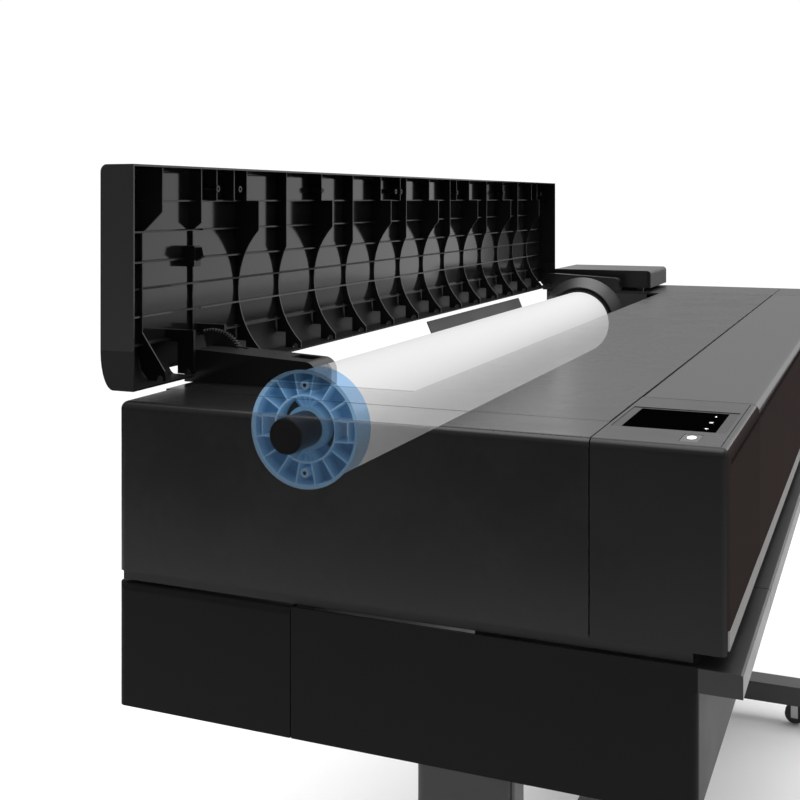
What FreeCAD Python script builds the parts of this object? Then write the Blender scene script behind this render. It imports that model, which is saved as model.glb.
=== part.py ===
# Large format plotter on a wheeled stand: roll bay at the rear with its lid swung up,
# one paper roll on its spindle, control panel at the near front corner.
# Millimetres. +X runs along the machine to the far end, -Y is the front, +Z is up,
# and the origin is on the floor under the middle of the machine.
import FreeCAD, Part
import Sketcher
import math
import os

from FreeCAD import Placement, Rotation, Vector

# ---------------------------------------------------------------- driving dimensions
SIZES = {
    "half_width": (1180, "middle of the machine to each end face"),
    "half_depth": (382, "middle of the machine to the front and rear faces"),
    "top_height": (1150, "floor to the top surface"),
    "upper_drop": (217, "top surface down to the lower edge of the upper covers"),
    "reveal_gap": (15, "dark band between upper and lower covers"),
    "case_floor": (760, "floor to the underside of the case"),
    "cover_wall": (4, "moulded cover thickness"),
    "edge_round": (10, "rounding of the long cover edges"),
    "seam_gap": (0.8, "half of a seam between two covers"),
    "front_seam": (-234, "seam between the top cover and the front modules"),
    "near_seam": (-1072, "seam between the near end cover and the top cover"),
    "far_seam": (905, "seam between the top cover and the far end cover"),
    "panel_seam": (-886, "seam between the control panel module and the front door"),
    "lower_seam": (132, "seam in the lower near end cover"),
    "bay_front": (60, "front edge of the roll bay opening"),
    "ramp_end": (96, "where the sloped lead-in meets the roll trough"),
    "ramp_drop": (16, "fall of the sloped lead-in"),
    "bay_near": (-958, "near end of the roll bay"),
    "bay_far": (852, "far end of the roll bay"),
    "bay_rear_drop": (110, "top surface down to the sill of the open rear"),
    "trough_radius": (125, "inside radius of the roll trough"),
    "sheet_wall": (2, "folded sheet metal"),
    "plate_wall": (4, "structural plate"),
    "roll_centre": (276.5, "roll axis towards the rear"),
    "roll_drop": (85, "roll axis below the top surface"),
    "paper_radius": (84.5, "outside of the wound paper"),
    "paper_start": (-820, "near end of the paper"),
    "paper_length": (1626, "paper width, a 64 inch roll"),
    "core_radius": (38, "outside of the cardboard core"),
    "core_bore": (34, "bore of the cardboard core"),
    "spindle_radius": (27, "spindle tube"),
    "spindle_start": (-924, "near end of the spindle tube"),
    "spindle_end": (838, "far end of the spindle tube"),
    "journal_radius": (14, "spindle journal in the far wall"),
    "hub_radius": (89.7, "near hub rim"),
    "hub_face": (-866, "near face of the near hub"),
    "fit_gap": (0.05, "radial running clearance"),
    "saddle_start": (-918, "near face of the near saddle"),
    "saddle_wall": (10, "saddle thickness"),
    "shroud_start": (812, "near edge of the far shroud"),
    "shroud_inner": (95, "shroud radius beside the paper"),
    "shroud_outer": (120, "shroud radius at the far wall"),
    "hinge_depth": (381.2, "lid axis towards the rear"),
    "hinge_rise": (15.2, "lid axis above the top surface"),
    "lid_near": (-1164.5, "near side of the lid"),
    "lid_far": (898, "far side of the lid"),
    "lid_rim": (369.7, "open edge plane of the raised lid"),
    "lid_skin": (421.4, "outer face of the raised lid"),
    "lid_low": (10, "lower edge of the raised lid above the top surface"),
    "lid_high": (306, "upper edge of the raised lid above the top surface"),
    "lid_wall": (2.8, "lid moulding thickness"),
    "lid_corner_depth": (20, "elliptical corner of the lid, across its skin"),
    "lid_corner_rise": (50, "elliptical corner of the lid, along its skin"),
    "lid_edge_round": (10, "rounding between the lid's skin and its upper wall"),
    "rib_first": (-1086, "first cross rib of the lid"),
    "rib_pitch": (131.5, "cross rib spacing"),
    "rib_wall": (2.4, "lid rib thickness"),
    "rib_deep": (41.5, "deep cross ribs"),
    "rib_shallow": (19.8, "shallow cross ribs"),
    "rail_depth": (10, "long ribs of the lid"),
    "top_rail": (257.6, "uppermost long rib above the top surface"),
    "boss_rise": (275.5, "screw bosses of the lid above the top surface"),
    "boss_length": (22, "screw bosses of the lid"),
    "boss_radius": (5, "outside of the screw bosses"),
    "boss_bore": (2.5, "bore of the screw bosses, radius"),
    "roll_relief": (133, "radius that the ribs leave free round the closed-in roll"),
    "pin_radius": (5, "lid hinge pins"),
    "arm_near": (-1006, "near face of the near hinge arm"),
    "arm_inner": (-941, "inner face of the near hinge arm"),
    "arm_front": (185, "front end of the near hinge arm"),
    "arm_rear": (395, "rear end of the hinge arms"),
    "arm_low": (37, "arm height at its front"),
    "arm_high": (46, "arm height at its rear"),
    "arm_wall": (3, "arm moulding thickness"),
    "far_arm_start": (856, "near face of the far hinge arm"),
    "far_arm_end": (892, "far face of the far hinge arm"),
    "far_arm_front": (175, "front end of the far hinge arm"),
    "gear_module": (1.5, "module of the lid and spindle gears"),
    "sector_teeth": (72, "full-circle teeth of the lid gear sector"),
    "pinion_teeth": (12, "teeth of the damper and motor pinions"),
    "spindle_teeth": (40, "teeth of the spindle gear"),
    "gear_width": (8, "face width of the gears"),
    "sector_start": (-955, "near face of the lid gear sector"),
    "spindle_gear_start": (862, "near face of the spindle gear"),
    "mesh_slack": (0.2, "extra centre distance of the meshed gears"),
    "door_bead": (4, "radius of the bead along the door's hinge edge"),
    "groove_high": (13, "finger groove below the top surface, upper edge"),
    "groove_low": (22, "finger groove below the top surface, lower edge"),
    "groove_depth": (2.6, "finger groove into the front face"),
    "trim_high": (191, "upper edge of the bright strip below the top surface"),
    "trim_low": (211, "lower edge of the bright strip below the top surface"),
    "ledge_front": (396, "how far forward the output ledge stands"),
    "ledge_height": (26, "output ledge"),
    "stand_spread": (900, "middle of the machine to each stand leg"),
    "foot_reach": (430, "half length of the stand feet"),
    "foot_low": (60, "underside of the stand feet"),
    "foot_high": (110, "top of the stand feet"),
    "caster_place": (310, "caster pivot from the middle of the foot"),
    "wheel_radius": (25, "caster wheels"),
    "wheel_lift": (3, "caster wheels clear of the floor when levelled"),
    "caster_trail": (18, "caster wheel axle behind its pivot"),
    "pad_place": (400, "levelling pad from the middle of the foot"),
    "rod_depth": (-221, "carriage rod from the middle of the machine"),
    "rod_drop": (90, "carriage rod below the top surface"),
    "rod_radius": (10, "carriage rod"),
}

doc = FreeCAD.newDocument("plotter")
sheet = doc.addObject("Spreadsheet::Sheet", "dims")
for row, (alias, (amount, meaning)) in enumerate(SIZES.items(), start=1):
    sheet.set(f"A{row}", meaning)
    sheet.set(f"B{row}", str(amount))
    sheet.setAlias(f"B{row}", alias)
doc.recompute()


# ---------------------------------------------------------------- sizes bound to the sheet
class Size:
    """A length that knows both its value and the sheet expression that it comes from."""

    def __init__(self, value, text):
        self.value = float(value)
        self.text = text

    def __add__(self, other):
        other = as_size(other)
        return Size(self.value + other.value, f"({self.text} + {other.text})")

    def __radd__(self, other):
        return as_size(other) + self

    def __sub__(self, other):
        other = as_size(other)
        return Size(self.value - other.value, f"({self.text} - {other.text})")

    def __rsub__(self, other):
        return as_size(other) - self

    def __mul__(self, factor):
        return Size(self.value * factor, f"({self.text} * {factor!r})")

    __rmul__ = __mul__

    def __truediv__(self, factor):
        return self * (1 / factor)

    def __neg__(self):
        return self * -1


def as_size(number):
    """A plain number as a Size, and a Size as it is."""
    if isinstance(number, Size):
        return number
    return Size(number, f"({float(number)!r})")


class Sheet:
    """Reads each alias of the sheet as a Size."""

    def __getattr__(self, alias):
        return Size(SIZES[alias][0], f"dims.{alias}")


d = Sheet()
top = d.top_height
roll_height = top - d.roll_drop
hinge_height = top + d.hinge_rise
upper_floor = top - d.upper_drop
lower_ceiling = upper_floor - d.reveal_gap
PAST = 5.0                      # how far a cutting tool runs past the faces that it cuts


# ---------------------------------------------------------------- building blocks
def bind(thing, prop, size):
    """Ties one property to the sheet."""
    thing.setExpression(prop, as_size(size).text)


def place(thing, x, y, z):
    """Ties the position of a sub-part to the sheet."""
    for letter, size in zip("xyz", (x, y, z)):
        bind(thing, f"Placement.Base.{letter}", size)


def box(name, low, high):
    """A Part box between two corners."""
    solid = doc.addObject("Part::Box", name)
    for prop, start, end in zip(("Length", "Width", "Height"), low, high):
        bind(solid, prop, as_size(end) - start)
    place(solid, *low)
    return solid


TURNS = {
    "x": Rotation(Vector(0, 1, 0), 90),
    "y": Rotation(Vector(1, 0, 0), -90),
    "z": Rotation(),
}


def rod(name, axis, start, length, radius):
    """A Part cylinder along an axis from a start point."""
    solid = doc.addObject("Part::Cylinder", name)
    solid.Placement = Placement(Vector(), TURNS[axis])
    bind(solid, "Radius", radius)
    bind(solid, "Height", length)
    place(solid, *start)
    return solid


def cut(name, base, *tools):
    """The base less its tools, one Part cut after another."""
    for index, tool in enumerate(tools):
        last = index == len(tools) - 1
        result = doc.addObject("Part::Cut", name if last else f"{name}_cut")
        result.Base = base
        result.Tool = tool
        base = result
    return base


def fuse(name, *parts):
    """One solid from touching or crossing solids."""
    result = doc.addObject("Part::MultiFuse", name)
    result.Shapes = list(parts)
    result.Refine = True
    return result


def common(name, base, tool):
    """What two solids share."""
    result = doc.addObject("Part::Common", name)
    result.Base = base
    result.Tool = tool
    return result


def group(name, *parts):
    """Separate solids kept in one sub-part."""
    result = doc.addObject("Part::Compound", name)
    result.Links = list(parts)
    return result


def new_sketch(body, plane, offset):
    """A sketch on one of the body's own origin planes, moved along its normal."""
    sketch = body.newObject("Sketcher::SketchObject", f"{body.Name}_sketch")
    origin = [item for item in body.Origin.OriginFeatures if item.Role == plane][0]
    sketch.AttachmentSupport = [(origin, "")]
    sketch.MapMode = "FlatFace"
    bind(sketch, "AttachmentOffset.Base.z", offset)
    return sketch


def polygon(sketch, points):
    """A closed outline whose every corner is dimensioned from the sketch origin."""
    values = [Vector(as_size(u).value, as_size(v).value, 0) for u, v in points]
    count = len(points)
    for index in range(count):
        sketch.addGeometry(Part.LineSegment(values[index], values[(index + 1) % count]), False)
    for index in range(count):
        after = (index + 1) % count
        sketch.addConstraint(Sketcher.Constraint("Coincident", index, 2, after, 1))
    for index, corner in enumerate(points):
        for kind, size in zip(("DistanceX", "DistanceY"), corner):
            amount = as_size(size)
            rule = Sketcher.Constraint(kind, -1, 1, index, 1, amount.value)
            number = sketch.addConstraint(rule)
            sketch.setExpression(f"Constraints[{number}]", amount.text)


def pad(body, sketch, length):
    """Pads a sketch along its normal."""
    feature = body.newObject("PartDesign::Pad", f"{body.Name}_pad")
    feature.Profile = sketch
    bind(feature, "Length", length)
    body.Tip = feature
    return feature


def round_edges(body, feature, picks, radius):
    """Rounds the edges whose ends all lie at the picked coordinates; None means any."""
    doc.recompute()
    names = []
    for number, edge in enumerate(feature.Shape.Edges, start=1):
        for pick in picks:
            wanted = [None if value is None else as_size(value).value for value in pick]
            ends = [(v.Point.x, v.Point.y, v.Point.z) for v in edge.Vertexes]
            if all(w is None or abs(p - w) < 1e-3 for end in ends for p, w in zip(end, wanted)):
                names.append(f"Edge{number}")
    fillet = body.newObject("PartDesign::Fillet", f"{body.Name}_round")
    fillet.Base = (feature, sorted(set(names)))
    bind(fillet, "Radius", radius)
    body.Tip = fillet
    return fillet


def prism(name, plane, points, start, length, rounds=(), radius=None):
    """A padded outline, with some of its edges rounded."""
    body = doc.addObject("PartDesign::Body", name)
    sketch = new_sketch(body, plane, start)
    polygon(sketch, points)
    feature = pad(body, sketch, length)
    if rounds:
        round_edges(body, feature, rounds, radius)
    return body


def block(name, low, high, rounds, radius):
    """A box-shaped body with rounded edges."""
    corners = ((low[0], low[1]), (high[0], low[1]), (high[0], high[1]), (low[0], high[1]))
    height = as_size(high[2]) - low[2]
    return prism(name, "XY_Plane", corners, low[2], height, rounds, radius)


def turned(name, points, y, z):
    """An outline of (x, radius) corners turned about an axis along X through y, z."""
    body = doc.addObject("PartDesign::Body", name)
    place(body, 0, y, z)
    sketch = new_sketch(body, "XY_Plane", 0)
    polygon(sketch, points)
    feature = body.newObject("PartDesign::Revolution", f"{name}_turn")
    feature.Profile = sketch
    feature.ReferenceAxis = (sketch, ["H_Axis"])
    feature.Angle = 360
    body.Tip = feature
    return body


def toothed(name, teeth, first, last, phase, start, width, y, z, module):
    """A spur gear or sector along X: straight-flanked teeth on a disc.

    Angles run in degrees from the front (-Y) upwards; a sector runs from first to last.
    """
    pitch_radius = module * teeth / 2
    root, tip = pitch_radius - 1.25 * module, pitch_radius + module
    step = 360.0 / teeth
    profile = ((-0.33, root), (-0.13, tip), (0.13, tip), (0.33, root))
    whole = last - first >= 360
    corners = []
    for tooth in range(round((last - first) / step)):
        middle = first + phase + tooth * step
        for share, radius in profile:
            turn = math.radians(middle + share * step)
            corners.append(Vector(-radius * math.cos(turn), radius * math.sin(turn), 0))
    if not whole:
        corners.append(Vector(0, 0, 0))
    body = doc.addObject("PartDesign::Body", name)
    place(body, 0, y, z)
    sketch = new_sketch(body, "YZ_Plane", start)
    for here, there in zip(corners, corners[1:] + corners[:1]):
        sketch.addGeometry(Part.LineSegment(here, there), False)
    pad(body, sketch, width)
    return body


exports = []


def keep(thing, node):
    """Gives a finished sub-part the name that its file takes."""
    thing.Label = node
    exports.append(thing)
    return thing


# ---------------------------------------------------------------- upper covers
def end_cover(name, low, high, rounds, open_low, open_high):
    """A cover moulded as a rounded box, hollowed where the tool box runs past it."""
    shell = block(f"{name}_outside", low, high, rounds, d.edge_round)
    return cut(name, shell, box(f"{name}_inside", open_low, open_high))


def near_end_cover():
    wall = d.cover_wall
    low = (-d.half_width, d.front_seam + d.seam_gap, upper_floor)
    high = (d.near_seam - d.seam_gap, d.half_depth, top)
    rounds = (
        (low[0], None, top),
        (None, high[1], top),
        (low[0], high[1], None),
    )
    cover = end_cover(
        "near_end_shell", low, high, rounds,
        (low[0] + wall, low[1] - PAST, low[2] - PAST),
        (high[0] + PAST, high[1] - wall, top - wall),
    )
    return keep(cover, "near_end_cover")


def carriage_way(name, start, end):
    """The opening in a module's inner wall that the carriage travels through."""
    return box(name, (start - PAST, -345, upper_floor - PAST),
               (end + PAST, d.front_seam + PAST, top - 32))


def control_panel():
    """Housing at the near front corner with its recessed bezel, glass and home button."""
    wall = d.cover_wall
    front = -d.half_depth
    low = (-d.half_width, front, upper_floor)
    high = (d.panel_seam - d.seam_gap, d.front_seam - d.seam_gap, top)
    rounds = ((low[0], None, top), (None, front, top), (low[0], front, None))
    shell = end_cover(
        "panel_shell", low, high, rounds,
        (low[0] + wall, front + wall, low[2] - PAST),
        (high[0] - wall, high[1] + PAST, top - wall),
    )
    trim_room = box(
        "panel_trim_room",
        (low[0] + wall, front - PAST, top - d.trim_low - 1),
        (high[0] + PAST, front + wall + 1, top - d.trim_high + 0.5),
    )
    skirt = box(
        "panel_skirt_room",
        (low[0] + wall, front - PAST, upper_floor - PAST),
        (high[0] + PAST, front + wall + 1, top - d.trim_low),
    )
    groove = box(
        "panel_finger_groove",
        (low[0] + 14, front - PAST, top - d.groove_low),
        (high[0] + PAST, front + d.groove_depth, top - d.groove_high),
    )
    bezel_low, bezel_high = (-1097, -368), (-961, -239)
    bezel_room = box("bezel_room", (*bezel_low, top - 2.5), (*bezel_high, top + PAST))
    glass_room = box("glass_room", (-1089, -354, top - PAST), (-969, -252, top))
    button_low, button_high = (-1155, -346), (-1114, -326)
    button_room = box(
        "button_room",
        (button_low[0] - 0.4, button_low[1] - 0.4, top - 20),
        (button_high[0] + 0.4, button_high[1] + 0.4, top + PAST),
    )
    seam_line = box(
        "panel_seam_line",
        (low[0] + 11, front + 9, top - 1.2),
        (high[0] - 8, front + 10.2, top + PAST),
    )
    opened = cut(
        "panel_opened", shell,
        trim_room, skirt, groove, bezel_room, glass_room, button_room, seam_line,
        carriage_way("panel_carriage_way", high[0] - wall, high[0]),
    )
    stub = door_stub("panel_door_stub", high[0] - wall, high[0] + 13)
    housing = fuse("control_panel_housing", opened, stub)
    bezel = cut(
        "display_bezel",
        box("bezel_plate", (*bezel_low, top - 2.5), (*bezel_high, top - 0.8)),
        box("bezel_window", (-1091, -356, top - 3), (-967, -250, top)),
    )
    glass = box("display_glass", (-1091, -356, top - 2.5), (-967, -250, top - 1.0))
    cap = block(
        "home_button_cap",
        (*button_low, top - 4.5), (*button_high, top - 0.2),
        ((button_low[0], button_low[1], None), (button_high[0], button_high[1], None),
         (button_low[0], button_high[1], None), (button_high[0], button_low[1], None)),
        3,
    )
    stem = box("home_button_stem", (-1138, -340, top - 12), (-1130, -332, top - 4.5))
    keep(housing, "control_panel_housing")
    keep(bezel, "display_bezel")
    keep(glass, "display_glass")
    keep(fuse("home_button", cap, stem), "home_button")


def top_cover():
    """Perforated top between the end covers: front field, lead-in ramp and two side strips."""
    wall = d.cover_wall
    start = d.near_seam + d.seam_gap
    length = d.far_seam - d.seam_gap - start
    front = d.front_seam + 1.6
    field = prism(
        "top_field", "YZ_Plane",
        ((front, top - wall), (d.bay_front, top - wall), (d.bay_front, top), (front, top)),
        start, length,
    )
    ramp_foot = top - d.ramp_drop
    ramp = prism(
        "top_ramp", "YZ_Plane",
        ((d.bay_front, top - wall), (d.ramp_end, ramp_foot - wall),
         (d.ramp_end, ramp_foot), (d.bay_front, top)),
        d.bay_near, d.bay_far - d.bay_near,
    )
    near_strip = box(
        "top_near_strip",
        (start, d.bay_front, top - wall), (d.bay_near, d.half_depth - wall, top),
    )
    far_strip = box(
        "top_far_strip",
        (d.bay_far, d.bay_front, top - wall),
        (d.far_seam - d.seam_gap, d.half_depth - wall, top),
    )
    whole = fuse("top_cover", field, ramp, near_strip, far_strip)
    keep(whole, "top_cover")


def front_door():
    """Door over the printing zone: top field, rounded front edge, front face, hinge bead."""
    wall = d.cover_wall
    start = d.panel_seam + d.seam_gap
    length = d.far_seam - d.seam_gap - start
    front = -d.half_depth
    bead_y = d.front_seam - 3
    bead_z = top - d.door_bead
    foot = top - d.trim_high
    outline = (
        (bead_y, top), (front, top), (front, foot),
        (front + wall, foot), (front + wall, top - wall), (bead_y, top - wall),
    )
    skin = prism("door_skin", "YZ_Plane", outline, start, length,
                 ((None, front, top),), d.edge_round)
    bead = rod("door_bead_rod", "x", (start, bead_y, bead_z), length, d.door_bead)
    groove = box(
        "door_finger_groove",
        (start - PAST, front - PAST, top - d.groove_low),
        (start + length + PAST, front + d.groove_depth, top - d.groove_high),
    )
    bores = [
        rod(f"door_pin_bore_{side}", "x", (at - 15, bead_y, bead_z), 30, 2.05)
        for side, at in (("near", start), ("far", start + length))
    ]
    door = cut("front_door", fuse("door_whole", skin, bead), groove, *bores)
    keep(door, "front_door")


def door_stub(name, start, end):
    """Pivot stub of a neighbouring module, reaching into the door's hinge bead."""
    return rod(name, "x", (start, d.front_seam - 3, top - d.door_bead), end - start, 2)


def trim_strips():
    """Bright strips along the lower edge of the front, one on the door, one on the module."""
    front = -d.half_depth
    low_z, high_z = top - d.trim_low, top - d.trim_high
    near_start = -d.half_width + d.cover_wall
    spans = {
        "panel_trim_strip": (near_start, d.panel_seam - d.seam_gap),
        "door_trim_strip": (d.panel_seam + d.seam_gap, d.far_seam - d.seam_gap),
    }
    for node, (start, end) in spans.items():
        keep(box(node, (start, front, low_z), (end, front + d.cover_wall, high_z)), node)


def far_covers():
    """Far front module with its ink door, far end cover, and the raised cover on top."""
    wall = d.cover_wall
    front = -d.half_depth
    high_x = d.half_width
    low = (d.far_seam + d.seam_gap, front, upper_floor)
    high = (high_x, d.front_seam - d.seam_gap, top)
    rounds = ((high_x, None, top), (None, front, top), (high_x, front, None))
    module = end_cover(
        "far_front_shell", low, high, rounds,
        (low[0] + wall, front + wall, low[2] - PAST),
        (high_x - wall, high[1] + PAST, top - wall),
    )
    door_low, door_high = (922, 960), (1164, 1110)
    opening = box(
        "ink_opening",
        (door_low[0] - 1, front - PAST, door_low[1] - 2.6),
        (door_high[0] + 1, front + wall + 1, door_high[1] + 1),
    )
    stubs = [
        door_stub("far_door_stub", low[0] - 13, low[0] + wall),
        rod("ink_stub_near", "x", (door_low[0] - 2, front + 2, door_low[1]), 10, 1),
        rod("ink_stub_far", "x", (door_high[0] - 8, front + 2, door_low[1]), 10, 1),
    ]
    way = carriage_way("far_carriage_way", low[0], low[0] + wall)
    keep(fuse("far_front_cover", cut("far_front_opened", module, opening, way), *stubs),
         "far_front_cover")
    bead = rod("ink_door_bead", "x", (door_low[0], front + 2, door_low[1]),
               door_high[0] - door_low[0], 2)
    panel = box("ink_door_panel", (door_low[0], front, door_low[1]),
                (door_high[0], front + wall, door_high[1]))
    bores = [
        rod(f"ink_bore_{index}", "x", (x, front + 2, door_low[1]), 14, 1 + d.fit_gap)
        for index, x in enumerate((door_low[0] - 5, door_high[0] - 9))
    ]
    keep(cut("ink_door", fuse("ink_door_whole", panel, bead), *bores), "ink_door")

    low = (d.far_seam + d.seam_gap, d.front_seam + d.seam_gap, upper_floor)
    high = (high_x, d.half_depth, top)
    rounds = ((high_x, None, top), (high_x, d.half_depth, None))
    cover = end_cover(
        "far_end_shell", low, high, rounds,
        (low[0] - PAST, low[1] - PAST, low[2] - PAST),
        (high_x - wall, d.half_depth - wall, top - wall),
    )
    keep(cover, "far_end_cover")

    low = (910, 96.5, top + 9)
    high = (1170, d.half_depth, top + 57)
    rounds = ((None, low[1], high[2]), (high[0], None, high[2]),
              (None, high[1], high[2]), (low[0], low[1], None), (high[0], low[1], None))
    raised = end_cover(
        "raised_shell", low, high, rounds,
        (low[0] + wall, low[1] + wall, low[2] - PAST),
        (high[0] - wall, high[1] - wall, high[2] - wall),
    )
    posts = [
        box(f"raised_post_{index}", (x, y, top), (x + 16, y + 16, high[2] - wall))
        for index, (x, y) in enumerate(
            ((low[0] + wall, low[1] + 22), (high[0] - wall - 16, low[1] + 22),
             (low[0] + wall, high[1] - 40), (high[0] - wall - 16, high[1] - 40)))
    ]
    keep(fuse("far_raised_cover", raised, *posts), "far_raised_cover")


def rear_cover():
    """Rear panel of the upper case, cut away over the roll bay so that it is open behind."""
    panel = box(
        "rear_panel",
        (d.near_seam + d.seam_gap, d.half_depth - d.cover_wall, upper_floor),
        (d.far_seam - d.seam_gap, d.half_depth, top),
    )
    window = box(
        "rear_window",
        (d.bay_near, d.half_depth - d.cover_wall - PAST, top - d.bay_rear_drop),
        (d.bay_far, d.half_depth + PAST, top + PAST),
    )
    keep(cut("rear_cover", panel, window), "rear_cover")


def reveal_band():
    """Dark set-back band between the upper and the lower covers, open along the front."""
    inset = d.half_width - d.cover_wall - 1
    back = d.half_depth - d.cover_wall - 1
    low_z, high_z = lower_ceiling + 3, upper_floor + 4
    outside = box("band_outside", (-inset, -344, low_z), (inset, back, high_z))
    inside = box("band_inside", (-inset + 3, -344 - PAST, low_z - PAST),
                 (inset - 3, back - 3, high_z + PAST))
    keep(cut("reveal_band", outside, inside), "reveal_band")


# ---------------------------------------------------------------- roll bay
def roll_trough():
    """Sheet trough under the roll: sloped front, round bottom about the axis, near end wall."""
    start, length = d.bay_near, d.bay_far - d.bay_near
    radius, sheet_wall = d.trough_radius, d.sheet_wall
    outside = rod("trough_outside", "x", (start, d.roll_centre, roll_height), length,
                  radius + sheet_wall)
    inside = rod("trough_inside", "x", (start - PAST, d.roll_centre, roll_height),
                 length + 2 * PAST, radius)
    keep_low = box(
        "trough_reach",
        (start - PAST, d.roll_centre - radius - 2 * PAST, roll_height - 2 * radius),
        (d.bay_far + PAST, d.half_depth - d.cover_wall, roll_height),
    )
    bowl = common("trough_bowl", cut("trough_tube", outside, inside), keep_low)
    bowl_front = d.roll_centre - radius
    ramp_foot = top - d.ramp_drop - d.cover_wall
    slope = prism(
        "trough_slope", "YZ_Plane",
        ((bowl_front - sheet_wall, roll_height), (bowl_front, roll_height),
         (d.ramp_end, ramp_foot), (d.ramp_end - sheet_wall, ramp_foot)),
        start, length,
    )
    near_wall = box("bay_near_wall", (start - d.plate_wall, d.ramp_end, bay_floor()),
                    (start, d.half_depth - d.cover_wall, top - d.cover_wall))
    keep(fuse("roll_trough", bowl, slope, near_wall), "roll_trough")


def bay_floor():
    """Lowest level of the roll trough."""
    return roll_height - d.trough_radius - d.sheet_wall


def bay_far_wall():
    """Far wall of the bay with the conical shroud and the spindle bearing."""
    wall = d.plate_wall
    low_y, high_y = d.ramp_end, d.half_depth - d.cover_wall
    floor = bay_floor()
    ceiling = top - d.cover_wall
    far = box("bay_far_plate", (d.bay_far, low_y, floor),
              (d.bay_far + wall, high_y, ceiling))
    cone_in = turned(
        "shroud_cone",
        ((d.shroud_start, d.shroud_inner), (d.shroud_start, d.shroud_inner + 3),
         (d.bay_far, d.shroud_outer + 3), (d.bay_far, d.shroud_outer)),
        d.roll_centre, roll_height,
    )
    reach = box(
        "shroud_reach",
        (d.shroud_start - PAST, low_y, floor + d.sheet_wall + 2),
        (d.bay_far + PAST, high_y, top + 60),
    )
    shroud = common("shroud_part", cone_in, reach)
    bearing = rod("far_bearing_bore", "x",
                  (d.bay_far - PAST, d.roll_centre, roll_height),
                  wall + 2 * PAST, d.journal_radius + d.fit_gap)
    keep(cut("far_shroud", fuse("far_wall_whole", far, shroud), bearing), "far_shroud")


def near_saddle():
    """Open-topped plate that the near end of the spindle drops into."""
    foot = roll_height - d.trough_radius - PAST
    plate = prism(
        "saddle_plate", "YZ_Plane",
        ((d.roll_centre - 45, foot), (d.roll_centre + 45, foot),
         (d.roll_centre + 34, roll_height), (d.roll_centre - 34, roll_height)),
        d.saddle_start, d.saddle_wall,
    )
    inside_trough = rod("saddle_reach", "x", (d.saddle_start - PAST, d.roll_centre, roll_height),
                        d.saddle_wall + 2 * PAST, d.trough_radius)
    notch = rod("saddle_notch", "x", (d.saddle_start - PAST, d.roll_centre, roll_height),
                d.saddle_wall + 2 * PAST, d.spindle_radius + d.fit_gap)
    standing = common("saddle_standing", plate, inside_trough)
    keep(cut("near_saddle", standing, notch), "near_saddle")


def rear_paper_guide():
    """Folded plate in the middle of the open rear: sloping lip, upright, tabs to the sill."""
    wall = d.sheet_wall
    face = d.half_depth - 12.5
    sill = top - d.bay_rear_drop
    plate = prism(
        "guide_plate", "YZ_Plane",
        ((face, sill - 20), (face + wall, sill - 20), (face + wall, top - 30),
         (d.half_depth + 1, top - 4), (d.half_depth + 1, top - 2),
         (d.half_depth - 1, top - 2), (face, top - 30)),
        -90, 663,
    )
    tabs = [
        box(f"guide_tab_{index}", (x, face + wall, sill - 20),
            (x + 30, d.half_depth - d.cover_wall, sill - 2))
        for index, x in enumerate((-70, 226, 522))
    ]
    keep(fuse("rear_paper_guide", plate, *tabs), "rear_paper_guide")


def hinge_arm(node, start, end, front, corner):
    """Hollow arm on the top cover that carries one lid pin; its rear end is cut low."""
    high, low, wall = top + d.arm_high, top + d.arm_low, d.arm_wall
    rear = d.arm_rear
    outline = (
        (front, top), (rear, top), (rear, top + 30), (d.hinge_depth, high),
        (front + 175, high), (front, low),
    )
    body = prism(f"{node}_outside", "YZ_Plane", outline, start, end - start,
                 ((None, front, low),), corner)
    inside = prism(
        f"{node}_inside", "YZ_Plane",
        ((front + 7, top - PAST), (rear - wall, top - PAST), (rear - wall, top + 29),
         (d.hinge_depth - 1, high - wall), (front + 175, high - wall),
         (front + corner, low - wall), (front + 7, low + 4 - corner)),
        start + wall, end - start - 2 * wall,
    )
    bore = rod(f"{node}_bore", "x", (start - PAST, d.hinge_depth, hinge_height),
               end - start + 2 * PAST, d.pin_radius + d.fit_gap)
    return cut(f"{node}_hollow", body, inside, bore)


PINION_RISE = math.radians(8)


def damper_place():
    """Damper pinion axis: on the sector's pitch circle, eight degrees above the pivot."""
    reach = d.gear_module * ((d.sector_teeth.value + d.pinion_teeth.value) / 2) + d.mesh_slack
    return (d.hinge_depth - reach * math.cos(PINION_RISE),
            hinge_height + reach * math.sin(PINION_RISE))


def hinge_arms():
    """Both hinge arms; the near one also has the latch and gear slots and the damper bores."""
    near = hinge_arm("near_arm", d.arm_near, d.arm_inner, d.arm_front, 18)
    latch_slot = box("latch_slot", (-980, 203, top + 20), (-950, 238, top + 60))
    gear_way = box(
        "arm_gear_way",
        (d.sector_start - 1.5, 322, top + 8),
        (d.sector_start + d.gear_width + 1.5, d.arm_rear + PAST, top + 60),
    )
    y, z = damper_place()
    damper_bore = rod("damper_bore", "x", (d.arm_near - PAST, y, z),
                      d.arm_inner - d.arm_near + 2 * PAST, 3 + d.fit_gap)
    keep(cut("near_arm", near, latch_slot, gear_way, damper_bore), "near_arm")
    far = hinge_arm("far_arm", d.far_arm_start, d.far_arm_end, d.far_arm_front, 12)
    keep(far, "far_arm")

    pinion = toothed("damper_wheel", int(d.pinion_teeth.value), 0, 360, 8.0 + 180,
                     d.sector_start, d.gear_width, y, z, d.gear_module.value)
    shaft = rod("damper_shaft", "x", (d.arm_near, y, z), d.arm_inner - d.arm_near, 3)
    keep(fuse("damper_pinion", pinion, shaft), "damper_pinion")


# ---------------------------------------------------------------- lid
def arm_pocket(name, start, end):
    """What must stay empty in the lid so that it can close over a hinge arm."""
    return prism(
        name, "YZ_Plane",
        ((360, top), (413.5, top), (413.5, top + 215), (398.6, top + 226), (360, top + 226)),
        start - 6, end - start + 12,
    )


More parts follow.
